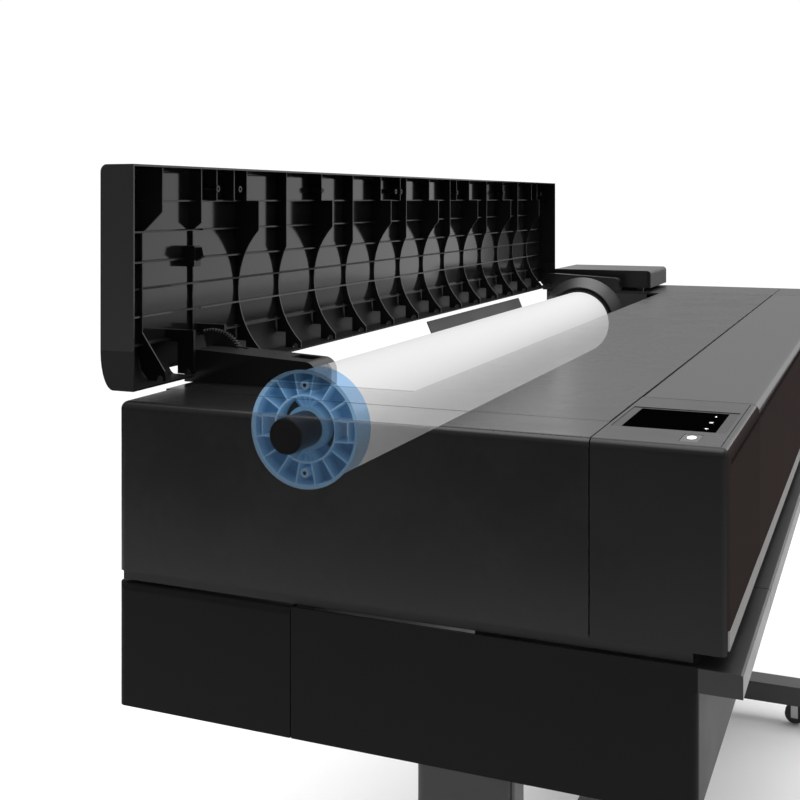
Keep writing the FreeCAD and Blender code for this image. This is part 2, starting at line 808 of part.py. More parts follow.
def arm_notch(name, start, end):
    """The opening in the lid's lower wall where a hinge arm comes through."""
    return box(name, (start, 360, top), (end, 413.5, top + 30))


def lid_profile(inset):
    """Lid section with its elliptical lower rear corner, stepped inwards by inset."""
    low = top.value + d.lid_low.value + inset
    high = top.value + d.lid_high.value - inset
    front, back = d.lid_rim.value, d.lid_skin.value - inset
    across, along = d.lid_corner_depth.value - inset, d.lid_corner_rise.value - inset
    ellipse = Part.Ellipse(Vector(back - across, low + along, 0), along, across)
    ellipse.rotate(Placement(Vector(back - across, low + along, 0),
                             Rotation(Vector(0, 0, 1), 90), Vector(0, 0, 0)))
    start, end = Vector(back - across, low, 0), Vector(back, low + along, 0)
    corner = Part.ArcOfEllipse(ellipse, ellipse.parameter(start), ellipse.parameter(end))
    radius = d.lid_edge_round.value - inset
    middle = Vector(back - radius, high - radius, 0)
    edge = Part.ArcOfCircle(Part.Circle(middle, Vector(0, 0, 1), radius), 0, math.pi / 2)
    skin = Part.LineSegment(end, Vector(back, high - radius, 0))
    points = (Vector(back - radius, high, 0), Vector(front, high, 0),
              Vector(front, low, 0), start)
    lines = [Part.LineSegment(a, b) for a, b in zip(points, points[1:])]
    return [corner, skin, edge, *lines]


def lid_block(name, inset, start, length):
    """The lid section run along X."""
    body = doc.addObject("PartDesign::Body", name)
    sketch = new_sketch(body, "YZ_Plane", start)
    for edge in lid_profile(inset):
        sketch.addGeometry(edge, False)
    pad(body, sketch, length)
    return body


def lid_shell():
    """Outer moulding of the lid: skin, end walls, upper and lower wall."""
    wall = d.lid_wall
    outside = lid_block("lid_outside", 0, d.lid_near, d.lid_far - d.lid_near)
    inside = lid_block("lid_inside", wall.value, d.lid_near + wall,
                       d.lid_far - d.lid_near - 2 * wall)
    rim_way = box(
        "lid_rim_way",
        (d.lid_near + wall, d.lid_rim - PAST, top + d.lid_low + wall),
        (d.lid_far - wall, d.lid_rim + 1, top + d.lid_high - wall),
    )
    return keep(
        cut("lid_shell", outside, inside, rim_way,
            arm_notch("near_arm_notch", d.arm_near - 14, d.arm_inner + 14),
            arm_notch("far_arm_notch", d.far_arm_start - 6, d.lid_far - wall)),
        "lid_shell",
    )


LATCH_START, LATCH_WIDTH = -976, 18
LONG_RIBS = (d.top_rail, 215, 173.5, 136.6, 98.8, 60.9)
TOP_RIBS = (-912, -861.6, -198, 140.3, 809.5)
BOSSES = (-912, -847, -560, -226, -198, 140.3, 493, 843)
BOSS_WEBS = (
    (-929, -895), (-861.6, -823), (-577, -543), (-226, -181),
    (123.3, 157.3), (476, 510), (809.5, 843),
)


def top_row(back, high_z):
    """Ribs, webs and screw bosses of the lid's uppermost row, between its last two rails."""
    low_z, level = top + d.top_rail, top + d.boss_rise
    half = d.rib_wall / 2
    parts = []
    for index, x in enumerate(TOP_RIBS):
        parts.append(box(f"top_rib_{index}", (x - half, back - d.rib_shallow, low_z),
                         (x + half, back, high_z)))
    for index, (start, end) in enumerate(BOSS_WEBS):
        parts.append(box(f"boss_web_{index}", (start, back - d.rail_depth, level - half),
                         (end, back, level + half)))
    for index, x in enumerate(BOSSES):
        parts.append(rod(f"lid_boss_{index}", "y", (x, back - d.boss_length, level),
                         d.boss_length, d.boss_radius))
    return parts


def boss_bores(back):
    """Screw holes of the bosses, blind towards the lid's skin."""
    return [
        rod(f"lid_boss_bore_{index}", "y", (x, back - d.boss_length - PAST, top + d.boss_rise),
            d.boss_length + PAST - 2, d.boss_bore)
        for index, x in enumerate(BOSSES)
    ]


def end_rib(back, low_z, high_z):
    """The first cross rib: full depth at both ends, with a foot at the lid's lower corner."""
    outline = (
        (back, high_z), (377.5, high_z), (377.9, top + 243), (406.2, top + 217.6),
        (410.3, top + 215), (410.3, top + 77), (373.9, top + 26.1), (372, low_z),
        (400, low_z), (411.5, top + 26), (416.5, top + 44), (back, top + 62.8),
    )
    return prism("end_rib", "YZ_Plane", outline, d.rib_first - d.rib_wall / 2, d.rib_wall)


def lid_ribs():
    """Rib frame inside the lid, relieved round the roll, with the four hinge lugs."""
    wall = d.lid_wall
    back = d.lid_skin - wall
    low_z, high_z = top + d.lid_low + wall, top + d.lid_high - wall
    low_end = low_z + d.lid_corner_rise
    half = d.rib_wall / 2
    parts = []
    for number in range(1, 16):
        x = d.rib_first + number * d.rib_pitch
        parts.append(box(f"cross_rib_{number}", (x - half, back - d.rib_shallow, low_end),
                         (x + half, back, high_z)))
        if number % 2 == 0:
            parts.append(box(f"deep_rib_{number}", (x - half, back - d.rib_deep, low_end),
                             (x + half, back, top + d.top_rail)))
        parts.append(box(f"cross_rib_foot_{number}", (x - half, d.lid_rim + 1.5, low_z),
                         (x + half, back - d.lid_corner_depth + 1.5, low_end)))
        parts.append(box(f"cross_rib_knee_{number}",
                         (x - half, back - d.lid_corner_depth - 8, top + 38),
                         (x + half, back - 2.6, low_end + 4)))
    for index, height in enumerate(LONG_RIBS):
        parts.append(box(
            f"long_rib_{index}",
            (d.lid_near + wall, back - d.rail_depth, top + height - half),
            (d.lid_far - wall, back, top + height + half),
        ))
    grid = fuse("rib_grid", *parts, *top_row(back, high_z))
    relief = rod("rib_relief", "x", (d.lid_near, d.hinge_depth - 100.2, top + 119.9),
                 d.lid_far - d.lid_near, d.roll_relief)
    latch_room = box("latch_room", (LATCH_START - 1, 360, top + 161),
                     (LATCH_START + LATCH_WIDTH + 1, back + PAST, top + 193))
    frame = cut("rib_frame_open", grid, relief, latch_room, *boss_bores(back),
                arm_pocket("near_arm_pocket", d.arm_near, d.arm_inner),
                arm_pocket("far_arm_pocket", d.far_arm_start, d.far_arm_end))
    lugs = []
    spans = (
        ("outer", d.arm_near - 12, d.arm_near - 7),
        ("inner", d.arm_inner + 6, d.arm_inner + 11),
        ("far", d.far_arm_end + 0.8, d.lid_far - wall),
    )
    for name, start, end in spans:
        lugs.append(box(f"lug_{name}", (start, d.hinge_depth - 9, low_z),
                        (end, back - d.lid_corner_depth, top + 75)))
        lugs.append(box(f"lug_root_{name}", (start, back - d.lid_corner_depth - 8, top + 58),
                        (end, back, top + 75)))
    bores = rod("lug_bores", "x", (d.lid_near, d.hinge_depth, hinge_height),
                d.lid_far - d.lid_near, d.pin_radius)
    whole = fuse("rib_frame_lugs", frame, end_rib(back, low_z, high_z), *lugs)
    room = lid_block("rib_room", wall.value, d.lid_near + wall,
                     d.lid_far - d.lid_near - 2 * wall)
    keep(common("lid_rib_frame", cut("rib_frame_bored", whole, bores), room),
         "lid_rib_frame")


def lid_fittings():
    """Latch block, gear sector and the two hinge pins, all carried by the lid."""
    back = d.lid_skin - d.lid_wall
    base = box("latch_base", (LATCH_START, 398, top + 162),
               (LATCH_START + LATCH_WIDTH, back, top + 192))
    hook = prism(
        "latch_hook", "YZ_Plane",
        ((385, top + 178), (398, top + 170), (398, top + 190), (388, top + 190)),
        LATCH_START + 5, LATCH_WIDTH - 10,
    )
    keep(fuse("lid_latch", base, hook), "lid_latch")

    sector = toothed("sector_wheel", int(d.sector_teeth.value), 0, 110, 0.5,
                     d.sector_start, d.gear_width, d.hinge_depth, hinge_height,
                     d.gear_module.value)
    boss = rod("sector_boss", "x", (d.sector_start, d.hinge_depth, hinge_height),
               d.gear_width, 12)
    bore = rod("sector_bore", "x", (d.sector_start - PAST, d.hinge_depth, hinge_height),
               d.gear_width + 2 * PAST, d.pin_radius)
    keep(cut("lid_gear_sector", fuse("sector_whole", sector, boss), bore), "lid_gear_sector")

    near_pin = rod("near_pin", "x", (d.arm_near - 12, d.hinge_depth, hinge_height),
                   d.arm_inner - d.arm_near + 23, d.pin_radius)
    far_pin = rod("far_pin", "x", (d.far_arm_start, d.hinge_depth, hinge_height),
                  d.lid_far - d.lid_wall - d.far_arm_start, d.pin_radius)
    keep(group("lid_hinge_pins", near_pin, far_pin), "lid_hinge_pins")


# ---------------------------------------------------------------- roll and spindle
def near_hub():
    """Blue hub: rim, web, bearing collar, inner ring, spokes, windows and screw bosses."""
    back = d.paper_start
    face = d.hub_face
    bore = d.spindle_radius
    web = back - 12
    profile = (
        (back + 20, bore), (back + 20, d.core_bore - 0.3), (back, d.core_bore - 0.3),
        (back, d.hub_radius), (face, d.hub_radius), (face, d.hub_radius - 5.5),
        (web, d.hub_radius - 5.5), (web, 52), (face + 4, 52), (face + 4, 49),
        (web, 49), (web, 34), (face + 8, 34), (face + 8, bore),
    )
    body = turned("near_hub_disc", profile, d.roll_centre, roll_height)
    ribs = []
    count = 16
    for index in range(count):
        turn = math.radians(360 / count * (index + 0.5))
        rib = doc.addObject("Part::Box", f"hub_rib_{index}")
        bind(rib, "Length", web - face - 3)
        rib.Width = 2
        rib.Height = 33
        rib.Placement.Rotation = Rotation(Vector(1, 0, 0), math.degrees(turn))
        place(rib, face + 3, d.roll_centre - 51.5 * math.sin(turn),
              roll_height + 51.5 * math.cos(turn))
        ribs.append(rib)
    bosses = []
    for side in (-1, 1):
        centre = (face + 3, d.roll_centre, roll_height + side * 66)
        bosses.append(rod(f"hub_boss_{side + 1}", "x", centre, web - face - 3, 7))
    windows = []
    for side in (-1, 1):
        middle = d.roll_centre + side * 62
        windows.append(box(f"hub_window_{side + 1}", (face - PAST, middle - 12, roll_height - 14),
                           (back + PAST, middle + 12, roll_height + 14)))
    whole = fuse("near_hub_whole", body, *ribs, *bosses)
    keep(cut("near_hub", whole, *windows), "near_hub")


def roll():
    """Paper on its core, spindle with journal and gear, far hub with its fine-toothed edge."""
    end = d.paper_start + d.paper_length
    axis = (d.roll_centre, roll_height)
    paper = cut(
        "paper_roll",
        rod("paper_solid", "x", (d.paper_start, *axis), d.paper_length, d.paper_radius),
        rod("paper_bore", "x", (d.paper_start - PAST, *axis), d.paper_length + 2 * PAST,
            d.core_radius),
    )
    keep(paper, "paper_roll")
    core = cut(
        "paper_core",
        rod("core_solid", "x", (d.paper_start, *axis), d.paper_length, d.core_radius),
        rod("core_hole", "x", (d.paper_start - PAST, *axis), d.paper_length + 2 * PAST,
            d.core_bore),
    )
    keep(core, "paper_core")
    gear_end = d.spindle_gear_start + d.gear_width
    spindle = turned(
        "spindle_turned",
        ((d.spindle_start, 0), (d.spindle_start, d.spindle_radius - 2),
         (d.spindle_start + 2, d.spindle_radius), (d.spindle_end, d.spindle_radius),
         (d.spindle_end, d.journal_radius), (gear_end, d.journal_radius), (gear_end, 0)),
        *axis,
    )
    gear = toothed("spindle_gear", int(d.spindle_teeth.value), 0, 360, 0, d.spindle_gear_start,
                   d.gear_width, *axis, d.gear_module.value)
    keep(fuse("spindle_with_gear", spindle, gear), "spindle")
    ring = toothed("far_ring", 90, 0, 360, 0, end, 5, *axis, 2.0)
    disc = rod("far_disc", "x", (end + 5, *axis), 20, d.paper_radius - 2)
    plug = rod("far_plug", "x", (end - 20, *axis), 20, d.core_bore - 0.3)
    hole = rod("far_hub_hole", "x", (end - 20 - PAST, *axis), 60, d.spindle_radius)
    keep(cut("far_hub", fuse("far_hub_whole", ring, disc, plug), hole), "far_hub")


def roll_drive():
    """Motor pinion under the spindle gear, and the motor behind the far wall."""
    spindle_teeth, pinion_teeth = int(d.spindle_teeth.value), int(d.pinion_teeth.value)
    module = d.gear_module.value
    reach = d.gear_module * ((spindle_teeth + pinion_teeth) / 2) + d.mesh_slack
    pinion_height = roll_height - reach
    wheel = toothed("roll_pinion_wheel", pinion_teeth, 0, 360, 180.0 / pinion_teeth,
                    d.spindle_gear_start, d.gear_width, d.roll_centre, pinion_height, module)
    shaft = rod("roll_pinion_shaft", "x",
                (d.spindle_gear_start + d.gear_width, d.roll_centre, pinion_height), 22, 3)
    keep(fuse("roll_motor_pinion", wheel, shaft), "roll_motor_pinion")
    motor_start = d.spindle_gear_start + d.gear_width + 6
    can = rod("motor_can", "x", (motor_start, d.roll_centre, pinion_height), 60, 24)
    flange = box(
        "motor_flange",
        (d.bay_far + d.plate_wall, d.roll_centre - 60, pinion_height - 40),
        (motor_start, d.roll_centre + 60, pinion_height - 24),
    )
    bore = rod("motor_bore", "x", (motor_start - PAST, d.roll_centre, pinion_height),
               PAST + 20, 3 + d.fit_gap)
    shelf = box(
        "motor_shelf",
        (motor_start, d.roll_centre - 60, pinion_height - 40),
        (motor_start + 50, d.roll_centre + 60, pinion_height - 23),
    )
    whole = fuse("roll_motor_whole", can, flange, shelf)
    keep(cut("roll_motor", whole, bore), "roll_motor")


# ---------------------------------------------------------------- print zone
def print_zone():
    """End plates, beam with its rod, platen, feed roller and the parked carriage."""
    plate_in = d.half_width - d.cover_wall - 5
    wall = d.plate_wall
    rod_z = top - d.rod_drop
    roller_y, roller_z, roller_radius = -130, 962, 22
    for node, start in (("near_end_plate", -plate_in), ("far_end_plate", plate_in - wall)):
        plate = box(f"{node}_sheet", (start, -340, d.case_floor + 4), (start + wall, -100, 1120))
        rod_hole = rod(f"{node}_rod_hole", "x", (start - PAST, d.rod_depth, rod_z),
                       wall + 2 * PAST, d.rod_radius)
        shaft_hole = rod(f"{node}_shaft_hole", "x", (start - PAST, roller_y, roller_z),
                         wall + 2 * PAST, 8 + d.fit_gap)
        keep(cut(node, plate, rod_hole, shaft_hole), node)
    length = 2 * plate_in
    drum = rod("roller_drum", "x", (-880, roller_y, roller_z), 1780, roller_radius)
    shaft = rod("roller_shaft", "x", (-plate_in, roller_y, roller_z), length, 8)
    keep(fuse("feed_roller", drum, shaft), "feed_roller")
    platen_plate = box("platen_plate", (-880, -322, 976), (900, -156, 984))
    platen_web = box("platen_web", (-880, -232, 944), (900, -196, 976))
    web_foot = box("platen_foot", (-plate_in + wall, -232, 920), (plate_in - wall, -196, 944))
    keep(fuse("platen", platen_plate, platen_web, web_foot), "platen")
    beam = box("beam_box", (-plate_in + wall, -190, 1040), (plate_in - wall, -150, 1105))
    beam_hollow = box("beam_hollow", (-plate_in, -187, 1043), (plate_in, -153, 1102))
    keep(cut("guide_beam", beam, beam_hollow), "guide_beam")
    guide = rod("guide_rod", "x", (-plate_in, d.rod_depth, rod_z), length, d.rod_radius)
    keep(guide, "guide_rod")
    low = (935, -322, 992)
    high = (1085, d.rod_depth + 20, 1092)
    case = block("carriage_case", low, high,
                 ((None, low[1], high[2]), (low[0], low[1], None), (high[0], low[1], None)), 8)
    carriage_bore = rod("carriage_bore", "x", (low[0] - PAST, d.rod_depth, rod_z),
                        150 + 2 * PAST, d.rod_radius + d.fit_gap)
    keep(cut("carriage", case, carriage_bore), "carriage")


# ---------------------------------------------------------------- lower case
def lower_case():
    """Base tray and the lower covers, with the output ledge under the paper exit."""
    wall = d.cover_wall
    floor = d.case_floor
    inner = d.half_width - wall - 1
    tray = box("tray_outside", (-inner, -345, floor), (inner, d.half_depth - wall - 1, floor + 40))
    sheet_wall = d.sheet_wall
    tray_room = box("tray_room", (-inner + sheet_wall, -345 + sheet_wall, floor + sheet_wall),
                    (inner - sheet_wall, d.half_depth - wall - 1 - sheet_wall,
                     floor + 40 + PAST))
    keep(cut("base_tray", tray, tray_room), "base_tray")

    front = -350
    end_x = d.half_width
    seam = d.lower_seam
    near_rear = end_cover(
        "near_rear_low_shell",
        (-end_x, seam + d.seam_gap, floor), (-end_x + 60, d.half_depth, lower_ceiling),
        ((-end_x, d.half_depth, None), (-end_x, None, lower_ceiling)),
        (-end_x + wall, seam - PAST, floor - PAST),
        (-end_x + 60 + PAST, d.half_depth - wall, lower_ceiling - wall),
    )
    keep(near_rear, "lower_near_rear_cover")
    near_front = end_cover(
        "near_front_low_shell",
        (-end_x, front, floor), (-end_x + 60, seam - d.seam_gap, lower_ceiling - d.ledge_height),
        ((-end_x, front, None),),
        (-end_x + wall, front + wall, floor - PAST),
        (-end_x + 60 + PAST, seam + PAST, lower_ceiling),
    )
    riser = box("near_front_riser",
                (-end_x, -d.half_depth + 32, lower_ceiling - d.ledge_height),
                (-end_x + wall, seam - d.seam_gap, lower_ceiling))
    keep(fuse("lower_near_front_cover", near_front, riser), "lower_near_front_cover")
    far = end_cover(
        "far_low_shell",
        (end_x - 60, front, floor), (end_x, d.half_depth, lower_ceiling - d.ledge_height),
        ((end_x, front, None), (end_x, d.half_depth, None)),
        (end_x - 60 - PAST, front + wall, floor - PAST),
        (end_x - wall, d.half_depth - wall, lower_ceiling),
    )
    far_riser = box("far_riser", (end_x - wall, front, lower_ceiling - d.ledge_height),
                    (end_x, d.half_depth, lower_ceiling))
    keep(fuse("lower_far_cover", far, far_riser), "lower_far_cover")
    rear = box("lower_rear_panel", (-end_x + 60, d.half_depth - wall, floor),
               (end_x - 60, d.half_depth, lower_ceiling))
    inlet_room = box("inlet_room", (-760, d.half_depth - wall - PAST, 820),
                     (-690, d.half_depth + PAST, 870))
    keep(cut("lower_rear_cover", rear, inlet_room), "lower_rear_cover")
    keep(box("lower_front_cover", (-end_x + 60, front, floor),
             (end_x - 60, front + wall, lower_ceiling - d.ledge_height)), "lower_front_cover")

    inlet_back = d.half_depth - 40
    body = box("inlet_body", (-760, inlet_back, 820), (-690, d.half_depth, 870))
    recess = box("inlet_recess", (-754, d.half_depth - 22, 829), (-726, d.half_depth + PAST, 851))
    switch_room = box("switch_room", (-718, d.half_depth - 16, 830),
                      (-698, d.half_depth + PAST, 860))
    blades = [
        box(f"inlet_blade_{index}", (x, d.half_depth - 22, 836), (x + 2, d.half_depth - 6, 843))
        for index, x in enumerate((-749, -741, -733))
    ]
    keep(fuse("power_inlet", cut("inlet_case", body, recess, switch_room), *blades),
         "power_inlet")

    ledge_low = lower_ceiling - d.ledge_height
    for node, start, end in (("front_ledge_near", -end_x, d.panel_seam - d.seam_gap),
                             ("front_ledge", d.panel_seam + d.seam_gap, end_x)):
        bar = prism(
            f"{node}_bar", "YZ_Plane",
            ((front, ledge_low), (front, lower_ceiling - 0.5),
             (-d.ledge_front, lower_ceiling - 0.5), (-d.ledge_front, ledge_low)),
            start, end - start, ((None, -d.ledge_front, lower_ceiling - 0.5),), 3,
        )
        keep(bar, node)


# ---------------------------------------------------------------- stand
def stand():
    """Welded stand: two columns on long feet, top plates and a cross beam."""
    parts = []
    for side, sign in (("near", -1), ("far", 1)):
        x = sign * d.stand_spread
        column = block(f"{side}_column", (x - 30, -70, d.foot_high), (x + 30, 70, d.case_floor - 8),
                       ((x - 30, -70, None), (x + 30, -70, None),
                        (x - 30, 70, None), (x + 30, 70, None)), 12)
        plate = box(f"{side}_head", (x - 60, -280, d.case_floor - 8), (x + 60, 280, d.case_floor))
        foot = block(f"{side}_foot", (x - 35, -d.foot_reach, d.foot_low),
                     (x + 35, d.foot_reach, d.foot_high),
                     ((None, -d.foot_reach, d.foot_high), (None, d.foot_reach, d.foot_high)), 15)
        parts.extend((column, plate, foot))
    beam = box("cross_beam", (-d.stand_spread + 30, -25, 180), (d.stand_spread - 30, 25, 250))
    frame = fuse("stand_whole", *parts, beam)
    tube = 3
    hollows = [box("beam_bore", (-d.stand_spread + 30, -25 + tube, 180 + tube),
                   (d.stand_spread - 30, 25 - tube, 250 - tube))]
    for side, sign in (("near", -1), ("far", 1)):
        x = sign * d.stand_spread
        hollows.append(box(f"{side}_column_bore", (x - 30 + tube, -70 + tube, d.foot_high),
                           (x + 30 - tube, 70 - tube, d.case_floor - 8)))
        hollows.append(box(f"{side}_foot_bore",
                           (x - 35 + tube, -d.foot_reach + 16, d.foot_low + tube),
                           (x + 35 - tube, d.foot_reach - 16, d.foot_high - tube)))
    bores = []
    for index, (x, y) in enumerate(caster_places()):
        bores.append(rod(f"shank_bore_{index}", "z", (x, y, d.foot_low - PAST), 30 + PAST,
                         6 + d.fit_gap))
    keep(cut("stand_frame", frame, *hollows, *bores), "stand_frame")


def caster_places():
    """The four caster pivots on the stand's feet."""
    return [(x * d.stand_spread, y * d.caster_place) for x in (-1, 1) for y in (-1, 1)]


CORNERS = ("near_front", "near_rear", "far_front", "far_rear")


def casters():
    """Four swivelling forks with their wheels."""
    wheel_z = d.wheel_lift + d.wheel_radius
    for corner, (x, y) in zip(CORNERS, caster_places()):
        axle_y = y + d.caster_trail
        ceiling = d.foot_low - 1
        crown = box(f"{corner}_crown", (x - 16, y - 14, ceiling - 4), (x + 16, axle_y + 10, ceiling))
        shank = rod(f"{corner}_shank", "z", (x, y, ceiling), 25, 6)
        cheeks = [
            box(f"{corner}_cheek_{index}", (x + side, axle_y - 9, wheel_z - 8),
                (x + side + 3, axle_y + 9, ceiling - 4))
            for index, side in enumerate((-16, 13))
        ]
        axle = rod(f"{corner}_axle", "x", (x - 16, axle_y, wheel_z), 32, 4)
        fork = fuse(f"caster_fork_{corner}", crown, shank, axle, *cheeks)
        keep(fork, f"caster_fork_{corner}")
        wheel = turned(
            f"caster_wheel_{corner}",
            ((x - 11, 4 + d.fit_gap), (x - 11, d.wheel_radius - 2),
             (x - 9, d.wheel_radius), (x + 9, d.wheel_radius),
             (x + 11, d.wheel_radius - 2), (x + 11, 4 + d.fit_gap)),
            axle_y, wheel_z,
        )
        keep(wheel, f"caster_wheel_{corner}")


def levelling_feet():
    """Four threaded pads that take the weight, in one group."""
    feet = []
    for index, (x, y) in enumerate(caster_places()):
        place_y = d.pad_place * (1 if index % 2 else -1)
        disc = rod(f"pad_{index}", "z", (x, place_y, 0), 9, 26)
        stem = rod(f"pad_stem_{index}", "z", (x, place_y, 9), d.foot_low - 9, 7)
        feet.append(fuse(f"levelling_foot_{index}", disc, stem))
    keep(group("levelling_feet", *feet), "levelling_feet")


# ---------------------------------------------------------------- assembly
near_end_cover()
control_panel()
top_cover()
front_door()
trim_strips()
far_covers()
rear_cover()
reveal_band()
roll_trough()
bay_far_wall()
near_saddle()
rear_paper_guide()
hinge_arms()
lid_shell()
lid_ribs()
lid_fittings()
near_hub()
roll()
roll_drive()
print_zone()
lower_case()
stand()
casters()
levelling_feet()
doc.recompute()

for thing in doc.Objects:
    if "Invalid" in thing.State or "Error" in thing.State:
        raise RuntimeError(f"{thing.Label} did not build: {thing.State}")
for thing in exports:
    if thing.Shape.isNull() or not thing.Shape.isValid():
        raise RuntimeError(f"{thing.Label} has no valid shape")

os.makedirs("parts", exist_ok=True)
for thing in exports:
    thing.Shape.exportStep(f"parts/{thing.Label}.step")
    print(f"{thing.Label}: {len(thing.Shape.Solids)} solid(s), {thing.Shape.Volume / 1000:.1f} cm3")
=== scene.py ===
"""Looks of the large format plotter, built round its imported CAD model.

Metres, in the frame of the CAD model: +X along the machine, -Y its front, +Z up, floor at z = 0.
"""
import math

import bmesh
import bpy
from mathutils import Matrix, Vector


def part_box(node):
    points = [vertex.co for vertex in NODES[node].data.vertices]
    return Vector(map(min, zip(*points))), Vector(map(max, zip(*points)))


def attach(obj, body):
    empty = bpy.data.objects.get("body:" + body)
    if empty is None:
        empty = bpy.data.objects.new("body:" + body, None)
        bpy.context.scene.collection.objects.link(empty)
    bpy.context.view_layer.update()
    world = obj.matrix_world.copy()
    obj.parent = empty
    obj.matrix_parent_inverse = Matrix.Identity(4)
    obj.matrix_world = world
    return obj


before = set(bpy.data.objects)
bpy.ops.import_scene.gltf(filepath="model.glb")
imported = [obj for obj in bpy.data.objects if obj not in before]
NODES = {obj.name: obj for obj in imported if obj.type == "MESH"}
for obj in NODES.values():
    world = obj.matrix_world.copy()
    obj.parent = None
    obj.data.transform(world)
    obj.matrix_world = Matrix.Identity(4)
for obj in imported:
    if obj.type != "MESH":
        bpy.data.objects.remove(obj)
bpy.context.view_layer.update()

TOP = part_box("top_cover")[1].z
ROLL_LOW, ROLL_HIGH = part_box("paper_roll")
ROLL_Y = (ROLL_LOW.y + ROLL_HIGH.y) / 2
ROLL_Z = (ROLL_LOW.z + ROLL_HIGH.z) / 2
ROLL_RADIUS = (ROLL_HIGH.z - ROLL_LOW.z) / 2
HUB_LOW, HUB_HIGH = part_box("near_hub")
HUB_RADIUS = (HUB_HIGH.z - HUB_LOW.z) / 2
NEAR_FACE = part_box("near_end_cover")[0].x
FRONT_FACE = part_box("control_panel_housing")[0].y
EDGE = 0.010    # rounding of the covers' long edges
SKIN = 0.0012   # depth below an outer face that still counts as that face
EYE = Vector((-2.444, -0.5405, 1.410))
LOOK = Vector((0.92245, 0.38613, 0.0))


# ---------------------------------------------------------------- materials
class Finish:
    """A material made of nodes, laid out by place on the object in metres."""

    def __init__(self, name):
        self.material = bpy.data.materials.new(name)
        self.material.use_nodes = True
        self.tree = self.material.node_tree
        self.shader = self.tree.nodes["Principled BSDF"]
        self.place = self.add("ShaderNodeTexCoord").outputs["Object"]
        self.axes = None

    def add(self, kind, **settings):
        node = self.tree.nodes.new(kind)
        for key, value in settings.items():
            setattr(node, key, value)
        return node

    def feed(self, socket, value):
        if isinstance(value, bpy.types.NodeSocket):
            self.tree.links.new(value, socket)
        else:
            socket.default_value = value

    def math(self, operation, a, b=0.0):
        node = self.add("ShaderNodeMath", operation=operation)
        for socket, value in zip(node.inputs, (a, b)):
            self.feed(socket, value)
        return node.outputs[0]

    def xyz(self):
        if self.axes is None:
            split = self.add("ShaderNodeSeparateXYZ")
            self.feed(split.inputs[0], self.place)
            self.axes = tuple(split.outputs)
        return self.axes

    def ramp(self, value, start, end, low=0.0, high=1.0):
        node = self.add("ShaderNodeMapRange", interpolation_type="SMOOTHSTEP")
        for socket, number in zip(node.inputs, (value, start, end, low, high)):
            self.feed(socket, number)
        return node.outputs[0]

    def noise(self, scale, detail=2.0, stretch=(1, 1, 1)):
        mapping = self.add("ShaderNodeMapping")
        mapping.inputs["Scale"].default_value = stretch
        self.feed(mapping.inputs["Vector"], self.place)
        node = self.add("ShaderNodeTexNoise")
        node.inputs["Scale"].default_value = scale
        node.inputs["Detail"].default_value = detail
        self.feed(node.inputs["Vector"], mapping.outputs[0])
        return node.outputs[0]

    def blend(self, factor, a, b):
        node = self.add("ShaderNodeMix", data_type="RGBA")
        self.feed(node.inputs[0], factor)
        self.feed(node.inputs[6], (*a, 1.0) if isinstance(a, tuple) else a)
        self.feed(node.inputs[7], (*b, 1.0) if isinstance(b, tuple) else b)
        return node.outputs[2]

    def bump(self, height, depth, strength=1.0):
        node = self.add("ShaderNodeBump")
        node.inputs["Strength"].default_value = strength
        node.inputs["Distance"].default_value = depth
        self.feed(node.inputs["Height"], height)
        self.feed(self.shader.inputs["Normal"], node.outputs[0])

    def set(self, **values):
        for key, value in values.items():
            self.shader.inputs[key.replace("_", " ")].default_value = value


def shade(colour, factor):
    return tuple(channel * factor for channel in colour)


def surface(name, colour, rough, vary=0.18, grain=1400.0, depth=0.00005, gloss=0.5, metal=0.0,
            stretch=(1, 1, 1), cloud=9.0):
    """Base finish: slow colour drift, fine grain in the relief and in the roughness."""
    finish = Finish(name)
    finish.set(Metallic=metal, Specular_IOR_Level=gloss)
    drift = finish.noise(cloud, 3.0, stretch)
    fine = finish.noise(grain, 3.0, stretch)
    tone = finish.math("ADD", finish.math("MULTIPLY", drift, 0.6), finish.math("MULTIPLY", fine, 0.4))
    finish.colour = finish.blend(tone, shade(colour, 1 - vary), shade(colour, 1 + vary))
    finish.fine = fine
    finish.feed(finish.shader.inputs["Base Color"], finish.colour)
    finish.feed(finish.shader.inputs["Roughness"],
                finish.ramp(tone, 0.2, 0.8, max(rough - 0.05, 0.02), rough + 0.05))
    finish.bump(fine, depth)
    return finish


def dots(finish, pitch, radius, reach):
    """1 on staggered round dots of the X-Y plane, 0 between them."""
    x, y, _ = finish.xyz()
    row = finish.math("DIVIDE", y, pitch * 0.866)
    odd = finish.math("MODULO", finish.math("ABSOLUTE", finish.math("FLOOR", row)), 2.0)
    column = finish.math("ADD", finish.math("DIVIDE", x, pitch), finish.math("MULTIPLY", odd, 0.5))
    across = finish.math("SUBTRACT", finish.math("FRACT", column), 0.5)
    along = finish.math("MULTIPLY", finish.math("SUBTRACT", finish.math("FRACT", row), 0.5), 0.866)
    distance = finish.math("POWER", finish.math("ADD", finish.math("MULTIPLY", across, across),
                                                finish.math("MULTIPLY", along, along)), 0.5)
    return finish.ramp(distance, radius / pitch, (radius + reach) / pitch, 1.0, 0.0)


